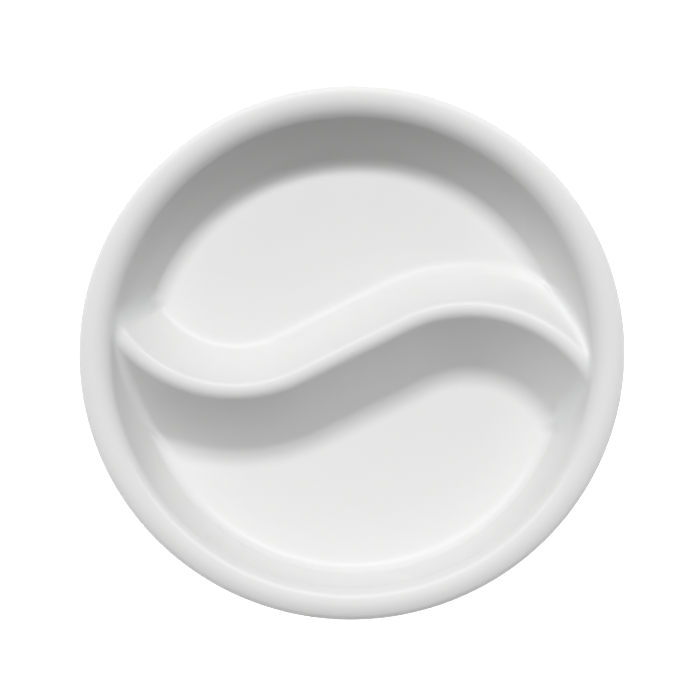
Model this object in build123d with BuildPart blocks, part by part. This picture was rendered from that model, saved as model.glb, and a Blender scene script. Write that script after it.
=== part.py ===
"""A shallow round dish of glazed porcelain, parted in two by an S-shaped divider. Millimetres, +Z up.

The origin is the centre of the foot ring's ground face. The far side of the dish is +Y and the divider's ends
are near -X and +X. The clay is made a glaze's thickness inside the finished surface, so each clay outline is
the finished outline with an inset.
"""
from build123d import *
from math import cos, radians, sin, tan
import os

os.makedirs("parts", exist_ok=True)

# The finished dish
outer_radius = 50.0
height = 20.0
floor_height = 4.5
glaze = 0.3
joint_radius = 4.0

# The wall slopes alike inside and outside. The rim's broad crown falls gently to a small round edge.
wall_slope = 67.4
crown_round = 3.9
crown_fall = 28.0
edge_round = 1.1
heel_round = 6.0
crown_radius = (
    outer_radius - crown_round * sin(radians(crown_fall)) - edge_round * (1 - sin(radians(crown_fall)))
)

# The foot ring and the recess inside it
foot_height = 1.5
foot_outer_radius = 36.9
foot_inner_radius = 33.3
foot_cove = 0.8
foot_edge_round = 0.4
glaze_stop_height = 0.6

# The divider: a straight middle and an equal arc at each end, which run into the wall
crest_height = 16.9
crest_round = 2.2
flank_slope = 54.0
middle_offset = 0.6
middle_half_length = 10.7
middle_angle = 26.6
bend_radius = 26.7
bend_turn = 100.0
root_depth = 1.0


def inside_line(inset):
    """Draws the crown's inner half, the wall and the floor, from the rim's highest circle to the axis."""
    crown = JernArc((crown_radius, height - inset), (-1, 0), crown_round - inset, wall_slope)
    drop = (crown @ 1).Y - (floor_height - inset)
    wall = PolarLine(crown @ 1, drop / sin(radians(wall_slope)), direction=crown % 1)
    Line(wall @ 1, (0, floor_height - inset))


def outside_line(inset, low):
    """Draws the crown's outer half, the edge, the side, the heel and the foot, down to a height."""
    crown = JernArc((crown_radius, height - inset), (1, 0), crown_round - inset, -crown_fall)
    edge = JernArc(crown @ 1, crown % 1, edge_round - inset, crown_fall + wall_slope - 180)
    heel_drop = (heel_round - inset) * (1 - cos(radians(wall_slope)))
    drop = (edge @ 1).Y - (foot_height + inset) - heel_drop
    side = PolarLine(edge @ 1, drop / sin(radians(wall_slope)), direction=edge % 1)
    heel = JernArc(side @ 1, side % 1, heel_round - inset, -wall_slope)
    ledge = Line(heel @ 1, (foot_outer_radius + foot_cove, foot_height + inset))
    cove = JernArc(ledge @ 1, (-1, 0), foot_cove + inset, 90)
    Line(cove @ 1, (foot_outer_radius - inset, low))


def recess_line(inset, low):
    """Draws the recess under the floor and the foot's inner face, from the axis to a height."""
    ceiling = Line((0, foot_height + inset), (foot_inner_radius - foot_cove, foot_height + inset))
    cove = JernArc(ceiling @ 1, (1, 0), foot_cove + inset, -90)
    Line(cove @ 1, (foot_inner_radius + inset, low))


def level_edges(solid, level):
    """Picks the edges that lie level at a height."""
    return solid.edges().filter_by_position(Axis.Z, level - 0.01, level + 0.01)


def divider_section(inset, low):
    """Draws the divider's section: a round crest on two straight flanks, cut off level at the bottom."""
    crest = CenterArc((0, crest_height - crest_round), crest_round - inset, 90 - flank_slope, 2 * flank_slope)
    shoulder_x, shoulder_z = (crest @ 0).X, (crest @ 0).Y
    half_width = shoulder_x + (shoulder_z - low) / tan(radians(flank_slope))
    Polyline(crest @ 1, (-half_width, low), (half_width, low), crest @ 0)


# The divider's line in plan
with BuildLine() as divider_line:
    right_middle = PolarLine((0, middle_offset), middle_half_length, middle_angle)
    JernArc(right_middle @ 1, right_middle % 1, bend_radius, -bend_turn)
    left_middle = PolarLine((0, middle_offset), middle_half_length, middle_angle + 180)
    JernArc(left_middle @ 1, left_middle % 1, bend_radius, -bend_turn)
divider_path = divider_line.wire()
divider_start = Plane(
    origin=divider_path @ 0,
    x_dir=Vector(0, 0, 1).cross(divider_path % 0),
    z_dir=divider_path % 0,
)

# The hollow of the dish, let into the wall and the floor by the root of the divider
with BuildPart() as root_space:
    with BuildSketch(Plane.YZ):
        with BuildLine():
            root_low = floor_height - root_depth
            root_line = JernArc(
                (crown_radius, height - glaze - root_depth),
                (-1, 0),
                crown_round - glaze - root_depth,
                wall_slope,
            )
            root_drop = (root_line @ 1).Y - root_low
            root_wall = PolarLine(
                root_line @ 1, root_drop / sin(radians(wall_slope)), direction=root_line % 1
            )
            Polyline(root_wall @ 1, (0, root_low), (0, height), (crown_radius, height), root_line @ 0)
        make_face()
    revolve(axis=Axis.Z)

# Clay body: floor, sloping wall, thick rim and bare foot ring in one
with BuildPart() as dish_body:
    with BuildSketch(Plane.YZ) as body_section:
        with BuildLine():
            inside_line(glaze)
            outside_line(glaze, 0)
            Line((foot_outer_radius - glaze, 0), (foot_inner_radius + glaze, 0))
            recess_line(glaze, 0)
            Line((0, foot_height + glaze), (0, floor_height - glaze))
        make_face()
        fillet(body_section.vertices().group_by(Axis.Y)[0], foot_edge_round)
    revolve(axis=Axis.Z)
    fillet(level_edges(dish_body, floor_height - glaze), joint_radius + glaze)
dish_body.part.label = "dish_body"

# Clay divider: the S-shaped ridge that is luted to the floor and the wall
with BuildPart() as divider:
    with BuildSketch(divider_start):
        with BuildLine():
            divider_section(glaze, floor_height - root_depth)
        make_face()
    sweep(path=divider_path)
    add(root_space.part, mode=Mode.INTERSECT)
    add(dish_body.part, mode=Mode.SUBTRACT)
divider.part.label = "divider"

# The finished surface as a solid: bowl and divider in one, with every joint inside rounded alike. Its own
# bottom lies inside the clay, apart from the glaze's edge on the foot ring.
with BuildPart() as finished_form:
    with BuildSketch(Plane.YZ):
        with BuildLine():
            inside_line(0)
            outside_line(0, glaze_stop_height)
            foot_middle_radius = (foot_outer_radius + foot_inner_radius) / 2
            floor_middle_height = (foot_height + floor_height) / 2
            Polyline(
                (foot_outer_radius, glaze_stop_height),
                (foot_middle_radius, glaze_stop_height),
                (foot_middle_radius, floor_middle_height),
                (0, floor_middle_height),
                (0, floor_height),
            )
        make_face()
    revolve(axis=Axis.Z)
with BuildPart() as finished_divider:
    with BuildSketch(divider_start):
        with BuildLine():
            divider_section(0, floor_height - root_depth)
        make_face()
    sweep(path=divider_path)
    add(root_space.part, mode=Mode.INTERSECT)
with BuildPart() as glazed_form:
    add(finished_form.part)
    add(finished_divider.part)
    wall_joints = glazed_form.edges().filter_by(GeomType.BSPLINE)
    fillet(level_edges(glazed_form, floor_height) + wall_joints, joint_radius)

# Fired glaze over everything that shows, down to just above the ground on the foot ring
with BuildPart() as glaze_coat:
    add(glazed_form.part)
    add(dish_body.part, mode=Mode.SUBTRACT)
    add(divider.part, mode=Mode.SUBTRACT)
glaze_coat.part.label = "glaze_coat"

# Fired glaze in the recess inside the foot ring
with BuildPart() as underside_glaze:
    with BuildSketch(Plane.YZ):
        with BuildLine():
            recess_line(0, glaze_stop_height)
            recess_line(glaze, glaze_stop_height)
            Line((0, foot_height), (0, foot_height + glaze))
            Line((foot_inner_radius, glaze_stop_height), (foot_inner_radius + glaze, glaze_stop_height))
        make_face()
    revolve(axis=Axis.Z)
underside_glaze.part.label = "underside_glaze"

for piece in (dish_body, divider, glaze_coat, underside_glaze):
    export_step(piece.part, f"parts/{piece.part.label}.step")
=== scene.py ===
"""A shallow round dish of glazed porcelain with an S-shaped divider, standing on its bare foot ring.

Metres, +Z up, in the frame's own place: the foot stands on z = 0 and the far side of the dish is +Y.
"""
from math import cos, radians, sin, tan

import bpy
import numpy as np
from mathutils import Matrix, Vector


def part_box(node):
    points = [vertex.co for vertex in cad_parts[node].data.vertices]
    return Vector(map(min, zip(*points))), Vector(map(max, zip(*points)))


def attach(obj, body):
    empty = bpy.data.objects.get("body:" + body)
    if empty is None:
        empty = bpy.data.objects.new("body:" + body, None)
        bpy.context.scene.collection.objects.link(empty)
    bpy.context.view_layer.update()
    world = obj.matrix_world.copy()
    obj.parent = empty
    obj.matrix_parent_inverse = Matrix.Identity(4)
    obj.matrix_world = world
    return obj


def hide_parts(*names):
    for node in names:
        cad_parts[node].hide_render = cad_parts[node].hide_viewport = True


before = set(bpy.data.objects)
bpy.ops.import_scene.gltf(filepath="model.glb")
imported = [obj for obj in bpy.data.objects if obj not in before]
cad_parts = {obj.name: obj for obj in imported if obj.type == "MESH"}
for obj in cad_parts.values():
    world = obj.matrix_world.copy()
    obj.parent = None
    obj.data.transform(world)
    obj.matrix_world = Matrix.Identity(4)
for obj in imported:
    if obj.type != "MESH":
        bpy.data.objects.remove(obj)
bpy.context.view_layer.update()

# --------------------------------------------------------------------------------------------------
# The clay: the dish body is pressed porcelain in one piece, and the divider is a second piece luted to its
# floor and wall with slip. Both are fired white, and bare clay shows only low on the foot ring.


def bare_porcelain(name):
    """Fired clay without glaze: matt and slightly warm, cloudy in tone, with fine grains that stand proud
    and a few tiny grey specks. Grain and specks are noise cut off at a level."""
    material = bpy.data.materials.new(name)
    material.use_nodes = True
    nodes, links = material.node_tree.nodes, material.node_tree.links
    shader = nodes["Principled BSDF"]
    shader.inputs["IOR"].default_value = 1.45
    place = nodes.new("ShaderNodeTexCoord")
    cloud = nodes.new("ShaderNodeTexNoise")
    cloud.inputs["Scale"].default_value = 140
    cloud.inputs["Detail"].default_value = 4
    grain = nodes.new("ShaderNodeTexNoise")
    grain.inputs["Scale"].default_value = 2600
    grain.inputs["Detail"].default_value = 3
    speck = nodes.new("ShaderNodeTexVoronoi")
    speck.inputs["Scale"].default_value = 420
    for pattern in (cloud, grain, speck):
        links.new(place.outputs["Object"], pattern.inputs["Vector"])
    tone = nodes.new("ShaderNodeMix")
    tone.data_type = "RGBA"
    tone.inputs[6].default_value = (0.76, 0.735, 0.69, 1)
    tone.inputs[7].default_value = (0.84, 0.82, 0.78, 1)
    links.new(cloud.outputs["Fac"], tone.inputs[0])
    speck_edge = nodes.new("ShaderNodeMapRange")
    speck_edge.inputs["From Min"].default_value = 0.05
    speck_edge.inputs["From Max"].default_value = 0.11
    speck_edge.inputs["To Min"].default_value = 0.35
    speck_edge.inputs["To Max"].default_value = 0
    links.new(speck.outputs["Distance"], speck_edge.inputs["Value"])
    specked = nodes.new("ShaderNodeMix")
    specked.data_type = "RGBA"
    specked.inputs[7].default_value = (0.42, 0.38, 0.33, 1)
    links.new(speck_edge.outputs["Result"], specked.inputs[0])
    links.new(tone.outputs[2], specked.inputs[6])
    links.new(specked.outputs[2], shader.inputs["Base Color"])
    matt = nodes.new("ShaderNodeMapRange")
    matt.inputs["To Min"].default_value = 0.7
    matt.inputs["To Max"].default_value = 0.9
    links.new(grain.outputs["Fac"], matt.inputs["Value"])
    links.new(matt.outputs["Result"], shader.inputs["Roughness"])
    bump = nodes.new("ShaderNodeBump")
    bump.inputs["Strength"].default_value = 0.5
    bump.inputs["Distance"].default_value = 0.00006
    links.new(grain.outputs["Fac"], bump.inputs["Height"])
    links.new(bump.outputs["Normal"], shader.inputs["Normal"])
    return material


fired_clay = bare_porcelain("bare_fired_porcelain")
for clay_part in (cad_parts["dish_body"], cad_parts["divider"]):
    clay_part.material_slots[0].material = fired_clay

# --------------------------------------------------------------------------------------------------
# The bowl's finished surface. Pressed porcelain with a flat floor, a straight sloping wall and a thick
# rounded rim, its glaze melted over all of it and wiped off just above the ground.

coat_low, coat_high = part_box("glaze_coat")
body_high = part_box("dish_body")[1]
outer_radius = (coat_high.x - coat_low.x) / 2
crown_height = coat_high.z
glaze_stop = coat_low.z
glaze_thickness = crown_height - body_high.z

floor_height = 0.0045
wall_slope = radians(67.4)
cove_radius = 0.0038
crown_round = 0.0039
crown_fall = radians(28)
edge_round = 0.0011
heel_round = 0.006
foot_height = 0.0015
foot_radius = 0.0369
foot_cove = 0.0008


def run_points(start, heading, length, turn, count):
    """Points along a run that bends evenly: after a length s of a run with bend k per metre, the chord is
    s * sin(k s / 2) / (k s / 2) long and points along the first heading plus k s / 2."""
    s = np.linspace(0, length, count + 1)
    bend = turn / length
    chord = s * np.sinc(bend * s / (2 * np.pi))
    along = heading + bend * s / 2
    return start + chord[:, None] * np.stack([np.cos(along), np.sin(along)], axis=1)


def section_line(start, heading, runs):
    """A section as one line of tangent runs, each a length, a turn and a count of steps."""
    points = [np.array([start])]
    for length, turn, count in runs:
        points.append(run_points(points[-1][-1], heading, length, turn, count)[1:])
        heading += turn
    return np.concatenate(points)


crown_radius = outer_radius - crown_round * sin(crown_fall) - edge_round * (1 - sin(crown_fall))
wall_top = crown_height - crown_round * (1 - cos(wall_slope))
wall_top_radius = crown_radius - crown_round * sin(wall_slope)
wall_foot_radius = wall_top_radius - (wall_top - floor_height) / tan(wall_slope)
cove_reach = cove_radius * tan(wall_slope / 2)
wall_length = (wall_top - floor_height) / sin(wall_slope) - cove_reach

edge_turn = radians(180) - crown_fall - wall_slope
edge_centre = crown_height - crown_round + (crown_round - edge_round) * cos(crown_fall)
side_top = edge_centre - edge_round * cos(wall_slope)
side_length = (side_top - foot_height - heel_round * (1 - cos(wall_slope))) / sin(wall_slope)
side_top_radius = outer_radius - edge_round * (1 - sin(wall_slope))
heel_end_radius = side_top_radius - side_length * cos(wall_slope) - heel_round * sin(wall_slope)
inside_runs = [
    (wall_foot_radius - cove_reach, 0, 92),
    (cove_radius * wall_slope, wall_slope, 12),
    (wall_length, 0, 14),
    (crown_round * wall_slope, -wall_slope, 16),
]
outside_runs = [
    (crown_round * crown_fall, -crown_fall, 7),
    (edge_round * edge_turn, -edge_turn, 12),
    (side_length, 0, 10),
    (heel_round * wall_slope, -wall_slope, 12),
    (heel_end_radius - foot_radius - foot_cove, 0, 1),
    (foot_cove * radians(90), radians(90), 5),
    (foot_height - foot_cove - glaze_stop, 0, 1),
]
inside_rings = sum(run[2] for run in inside_runs)
bowl_section = section_line((0.0, floor_height), 0.0, inside_runs + outside_runs)

# --------------------------------------------------------------------------------------------------
# The divider, an S-shaped clay ridge luted to the floor and the wall. Its crest is rounded, its flanks
# are straight, and slip and glaze fill its foot and its ends to soft hollows.

crest_height = 0.0169
crest_round = 0.0022
flank_slope = radians(54)
foot_hollow = 0.0049
middle_offset = 0.0006
middle_half_length = 0.0107
middle_angle = radians(26.6)
bend_radius = 0.0267
joint_blend = 0.0045
joint_fade_height = 0.0015
joint_fade_radius = 0.0465
joint_fade_width = 0.005


def divider_distance(x, y):
    """Signed distance in plan from the divider's line, positive on the far side. Each half is a straight
    run from the middle and then an arc that bends to the right, and a half turn gives the other half."""
    y = y - middle_offset
    ahead = x * cos(middle_angle) + y * sin(middle_angle)
    half = np.where(ahead >= 0, 1.0, -1.0)
    ahead, aside = ahead * half, (y * cos(middle_angle) - x * sin(middle_angle)) * half
    beside_arc = np.hypot(ahead - middle_half_length, aside + bend_radius) - bend_radius
    return half * np.where(ahead > middle_half_length, beside_arc, aside)


def divider_angle(radius):
    """Polar angle at which the divider's line crosses a circle about its own middle. It only turns the
    grid's columns toward the ridge, so the middle's small offset is left out."""
    turned = np.linspace(0, radians(100), 200)
    ahead = middle_half_length + bend_radius * np.sin(turned)
    aside = -bend_radius * (1 - np.cos(turned))
    return middle_angle + np.interp(radius, np.hypot(ahead, aside), np.arctan2(aside, ahead))


def bowl_rise(radius):
    """Height of the bowl alone over its floor, read off its section between the axis and the crown."""
    inside = bowl_section[: 1 + inside_rings]
    return np.interp(radius, inside[:, 0], inside[:, 1] - floor_height)


def divider_rise(distance):
    """Height of the divider alone over the floor: a circle's top, a straight flank and a circle's hollow."""
    away = np.abs(distance)
    top = crest_height - floor_height
    flank_start = crest_round * sin(flank_slope)
    flank_top = top - crest_round * (1 - cos(flank_slope))
    crest = top - crest_round + np.sqrt(crest_round**2 - np.minimum(away, flank_start) ** 2)
    flank = flank_top - (away - flank_start) * tan(flank_slope)
    hollow_end = flank_start + flank_top / tan(flank_slope) + foot_hollow * tan(flank_slope / 2)
    inward = np.clip(hollow_end - away, 0, foot_hollow * sin(flank_slope))
    hollow = foot_hollow - np.sqrt(foot_hollow**2 - inward**2)
    foot = np.where(away > hollow_end - foot_hollow * sin(flank_slope), hollow, flank)
    return np.where(away < flank_start, crest, foot)


def inside_height(x, y):
    """Height of the finished surface inside the crown: the higher of bowl and divider, with their meeting
    line filled by a polynomial blend that fades out over the level floor and under the rim."""
    radius = np.hypot(x, y)
    bowl, ridge = bowl_rise(radius), divider_rise(divider_distance(x, y))
    lower = np.minimum(bowl, ridge)
    fade = np.clip(lower / joint_fade_height, 0.02, 1)
    fade = fade * np.clip((joint_fade_radius - radius) / joint_fade_width, 0.02, 1)
    blend = joint_blend * fade
    mix = np.clip(0.5 + 0.5 * (bowl - ridge) / blend, 0, 1)
    fill = blend * mix * (1 - mix)
    return floor_height + ridge * (1 - mix) + bowl * mix + fill, fill


# --------------------------------------------------------------------------------------------------
# The glaze coat. One skin of clear fired glass over the whole dish, from the foot ring's outer face to
# the inside, where the divider joins the bowl.

columns = 456
column_steps = 3
ring_steps = 3


def grid_faces(rings, across, first, inner_pole):
    """Quads between the rings of a round grid, and a fan round the pole, numbered from first."""
    ring, column = np.meshgrid(np.arange(rings - 1), np.arange(across), indexing="ij")
    here = first + ring * across + column
    beside = first + ring * across + (column + 1) % across
    quads = np.stack([here, here + across, beside + across, beside], axis=-1).reshape(-1, 4)
    spoke = np.arange(across)
    fan = np.stack([np.full(across, inner_pole), first + spoke, first + (spoke + 1) % across], axis=-1)
    return quads, fan


def skin_mesh(name, grid, pole, thickness, pooled):
    """A closed skin: the grid's own surface, a plainer copy of it set inwards by the thickness, and a rim
    that joins each step of the copy to the columns that it spans."""
    rings, across = grid.shape[:2]
    around = np.roll(grid, -1, axis=1) - np.roll(grid, 1, axis=1)
    along = np.gradient(grid, axis=0)
    normal = np.cross(along, around)
    normal /= np.linalg.norm(normal, axis=2, keepdims=True)
    kept = np.unique(np.append(np.arange(rings - 1, -1, -ring_steps)[::-1], rings - 1))
    back = (grid - normal * thickness)[kept][:, ::column_steps]
    back_rings, back_across = back.shape[:2]
    pole_normal = normal[0].mean(axis=0)
    vertices = np.concatenate(
        [grid.reshape(-1, 3), back.reshape(-1, 3), [pole, pole - pole_normal * thickness]]
    )
    first_back = rings * across
    front_pole = first_back + back_rings * back_across
    quads, fan = grid_faces(rings, across, 0, front_pole)
    back_quads, back_fan = grid_faces(back_rings, back_across, first_back, front_pole + 1)
    edge = (rings - 1) * across + np.arange(across)
    back_edge = first_back + (back_rings - 1) * back_across + np.arange(back_across)
    nearest = back_edge[np.arange(across) // column_steps]
    edge_fan = np.stack([edge, nearest, np.roll(edge, -1)], axis=-1)
    last = edge[:: column_steps]
    edge_gap = np.stack([last, np.roll(back_edge, 1), back_edge], axis=-1)
    faces = [*quads.tolist(), *fan.tolist(), *back_quads[:, ::-1].tolist(), *back_fan[:, ::-1].tolist()]
    faces += [*edge_fan.tolist(), *edge_gap.tolist()]
    mesh = bpy.data.meshes.new(name)
    mesh.from_pydata(vertices.tolist(), [], faces)
    mesh.polygons.foreach_set("use_smooth", np.ones(len(mesh.polygons), bool))
    depth = np.zeros(len(vertices))
    depth[: rings * across] = pooled.reshape(-1)
    mesh.attributes.new("pooled", "FLOAT", "POINT").data.foreach_set("value", depth)
    piece = bpy.data.objects.new(name, mesh)
    bpy.context.scene.collection.objects.link(piece)
    return piece


def glaze_ripple(x, y, z):
    """The slow unevenness of melted glass: three long waves that cross each other, together at most 28
    microns up or down."""
    waves = np.sin(310 * x + 95 * y + 1.3) + np.sin(-180 * x + 260 * y + 210 * z + 0.4)
    return 0.00001 * (waves + 0.8 * np.sin(420 * y - 150 * x + 2.1) * np.sin(240 * x + 350 * z))


ripple_fade_width = 0.006
step = np.linspace(0, 2 * np.pi, columns, endpoint=False)
column_angle = step - 0.28 * np.sin(2 * step)
ring_radius, ring_height = bowl_section[1:, 0], bowl_section[1:, 1]
twist = divider_angle(np.minimum(np.maximum.accumulate(ring_radius), wall_top_radius))
angle = column_angle[None, :] + twist[:, None]
coat_x = ring_radius[:, None] * np.cos(angle)
coat_y = ring_radius[:, None] * np.sin(angle)
inside = np.arange(len(ring_radius)) < inside_rings
inner_z, inner_fill = inside_height(coat_x, coat_y)
coat_z = np.where(inside[:, None], inner_z, ring_height[:, None])
ripple_fade = np.clip((crown_radius - ring_radius) / ripple_fade_width, 0, 1) * inside
coat_z = coat_z + glaze_ripple(coat_x, coat_y, coat_z) * ripple_fade[:, None]
coat_grid = np.stack([coat_x, coat_y, coat_z], axis=-1)
coat_fill = np.where(inside[:, None], inner_fill, 0) / (joint_blend / 4)
coat_pole = np.array([0, 0, crest_height])
glaze_surface = skin_mesh("glaze_surface", coat_grid, coat_pole, glaze_thickness * 0.9, coat_fill)


def glazed_porcelain(name):
    """White clay seen through clear glaze: glossy, a touch cooler where the glass lies thick, with the
    faint dimpling of a fired surface."""
    material = bpy.data.materials.new(name)
    material.use_nodes = True
    nodes, links = material.node_tree.nodes, material.node_tree.links
    shader = nodes["Principled BSDF"]
    shader.inputs["IOR"].default_value = 1.5
    place = nodes.new("ShaderNodeTexCoord")
    pooled = nodes.new("ShaderNodeAttribute")
    pooled.attribute_name = "pooled"
    tone = nodes.new("ShaderNodeMix")
    tone.data_type = "RGBA"
    tone.inputs[6].default_value = (0.75, 0.748, 0.747, 1)
    tone.inputs[7].default_value = (0.73, 0.735, 0.737, 1)
    links.new(pooled.outputs["Fac"], tone.inputs[0])
    links.new(tone.outputs[2], shader.inputs["Base Color"])
    cloud = nodes.new("ShaderNodeTexNoise")
    cloud.inputs["Scale"].default_value = 60
    cloud.inputs["Detail"].default_value = 3
    links.new(place.outputs["Object"], cloud.inputs["Vector"])
    sheen = nodes.new("ShaderNodeMapRange")
    sheen.inputs["From Min"].default_value = 0.3
    sheen.inputs["From Max"].default_value = 0.7
    sheen.inputs["To Min"].default_value = 0.19
    sheen.inputs["To Max"].default_value = 0.24
    links.new(cloud.outputs["Fac"], sheen.inputs["Value"])
    links.new(sheen.outputs["Result"], shader.inputs["Roughness"])
    dimple = nodes.new("ShaderNodeTexNoise")
    dimple.inputs["Scale"].default_value = 900
    dimple.inputs["Detail"].default_value = 2
    links.new(place.outputs["Object"], dimple.inputs["Vector"])
    bump = nodes.new("ShaderNodeBump")
    bump.inputs["Strength"].default_value = 0.06
    bump.inputs["Distance"].default_value = 0.0002
    links.new(dimple.outputs["Fac"], bump.inputs["Height"])
    links.new(bump.outputs["Normal"], shader.inputs["Normal"])
    return material


glaze_material = glazed_porcelain("clear_glaze_on_porcelain")
glaze_surface.data.materials.append(glaze_material)
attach(glaze_surface, "root")
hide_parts("glaze_coat")

# --------------------------------------------------------------------------------------------------
# The glaze in the recess inside the foot ring: poured in with the rest and wiped back to the same line as
# outside, so that the ring itself stands bare on the kiln shelf.

recess_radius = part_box("underside_glaze")[1].x
ceiling_run = recess_radius - glaze_thickness - foot_cove
recess_section = section_line(
    (0.0, foot_height),
    0.0,
    [
        (ceiling_run, 0, 48),
        (foot_cove * radians(90), -radians(90), 8),
        (foot_height - foot_cove - glaze_stop, 0, 2),
    ],
)[1:]
recess_angle = -np.linspace(0, 2 * np.pi, 240, endpoint=False)[None, :]
recess_x = recess_section[:, :1] * np.cos(recess_angle)
recess_y = recess_section[:, :1] * np.sin(recess_angle)
recess_fade = np.clip((ceiling_run - recess_section[:, :1]) / ripple_fade_width, 0, 1)
recess_z = recess_section[:, 1:] + glaze_ripple(recess_x, recess_y, 0) * recess_fade
recess_grid = np.stack([recess_x, recess_y, recess_z], axis=-1)
recess_pool_width = 0.003
recess_depth = np.clip(1 - (ceiling_run + foot_cove - recess_section[:, :1]) / recess_pool_width, 0, 1)
recess_pooled = recess_depth * np.ones_like(recess_x)
recess_pole = np.array([0, 0, foot_height])
underside_surface = skin_mesh(
    "underside_surface", recess_grid, recess_pole, glaze_thickness * 0.9, recess_pooled
)
underside_surface.data.materials.append(glaze_material)
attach(underside_surface, "root")
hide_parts("underside_glaze")

# --------------------------------------------------------------------------------------------------
# Studio: a white table before a white backdrop, both of which look brighter than they light. One main
# light stands high behind the dish, a little to the left. A broad soft box low behind it gives the glaze
# its highlights, and dim fills stand left, right and behind.

floor_mesh = bpy.data.meshes.new("studio_floor")
floor_mesh.from_pydata([(-3, -3, 0), (3, -3, 0), (3, 3, 0), (-3, 3, 0)], [], [(0, 1, 2, 3)])
studio_floor = bpy.data.objects.new("studio_floor", floor_mesh)
bpy.context.scene.collection.objects.link(studio_floor)
floor_paint = bpy.data.materials.new("white_table")
floor_paint.use_nodes = True
floor_shader = floor_paint.node_tree.nodes["Principled BSDF"]
floor_shader.inputs["Base Color"].default_value = (0.95, 0.95, 0.95, 1)
floor_shader.inputs["Roughness"].default_value = 0.9
floor_shader.inputs["Emission Color"].default_value = (1, 1, 1, 1)
light_on_dish, light_in_view = 0.45, 1.1
white_level = floor_paint.node_tree.nodes.new("ShaderNodeMapRange")
white_level.inputs["To Min"].default_value = light_on_dish
white_level.inputs["To Max"].default_value = light_in_view
ray = floor_paint.node_tree.nodes.new("ShaderNodeLightPath")
floor_paint.node_tree.links.new(ray.outputs["Is Camera Ray"], white_level.inputs["Value"])
floor_paint.node_tree.links.new(white_level.outputs["Result"], floor_shader.inputs["Emission Strength"])
floor_mesh.materials.append(floor_paint)

lamp_distance = 1.3


def studio_lamp(name, kind, bearing, height_angle, power):
    """A lamp that faces the dish, by its bearing clockwise from the far side and its angle
    above the table."""
    data = bpy.data.lights.new(name, kind)
    data.energy = power
    bearing, height_angle = radians(bearing), radians(height_angle)
    toward = Vector(
        (sin(bearing) * cos(height_angle), cos(bearing) * cos(height_angle), sin(height_angle))
    )
    lamp = bpy.data.objects.new(name, data)
    lamp.location = toward * lamp_distance
    lamp.rotation_euler = toward.to_track_quat("Z", "Y").to_euler()
    bpy.context.scene.collection.objects.link(lamp)
    return lamp


def soft_box(name, bearing, height_angle, power, width, depth):
    """A rectangular soft box."""
    lamp = studio_lamp(name, "AREA", bearing, height_angle, power)
    lamp.data.shape = "RECTANGLE"
    lamp.data.size, lamp.data.size_y = width, depth
    return lamp


main_light = studio_lamp("main_light", "SUN", -11, 66, 3.2)
main_light.data.angle = radians(12)
main_light.visible_glossy = False
highlight_box = soft_box("highlight_box", 0, 33, 6.5, 2.4, 0.45)
highlight_box.visible_diffuse = False
for side, bearing, power in (("left", -90, 1.6), ("back", 0, 0.8), ("right", 90, 2.2)):
    fill = soft_box("fill_" + side, bearing, 25, power, 1.0, 0.6)
    fill.visible_glossy = False

backdrop = bpy.data.worlds.new("white_backdrop")
backdrop.use_nodes = True
backdrop_shader = backdrop.node_tree.nodes["Background"]
backdrop_shader.inputs["Color"].default_value = (1, 1, 1, 1)
backdrop_ray = backdrop.node_tree.nodes.new("ShaderNodeLightPath")
backdrop.node_tree.links.new(backdrop_ray.outputs["Is Camera Ray"], backdrop_shader.inputs["Strength"])
bpy.context.scene.world = backdrop
bpy.context.scene.view_settings.view_transform = "Standard"

# --------------------------------------------------------------------------------------------------
# Camera: a long lens over the near side of the dish, tipped 12 degrees from straight down.

camera_tilt = radians(12.04)
camera_side = radians(-84.85)
camera_distance = 1.035
aim = Vector((-0.00027, -0.00029, crown_height))
back = Vector((sin(camera_tilt) * cos(camera_side), sin(camera_tilt) * sin(camera_side), cos(camera_tilt)))
camera_data = bpy.data.cameras.new("camera")
camera_data.lens = 291
camera_data.sensor_width = 36
camera_data.clip_end = 10
camera = bpy.data.objects.new("camera", camera_data)
camera.location = aim + back * camera_distance
camera.rotation_euler = Vector((0, 0, 1)).rotation_difference(back).to_euler()
bpy.context.scene.collection.objects.link(camera)
bpy.context.scene.camera = camera
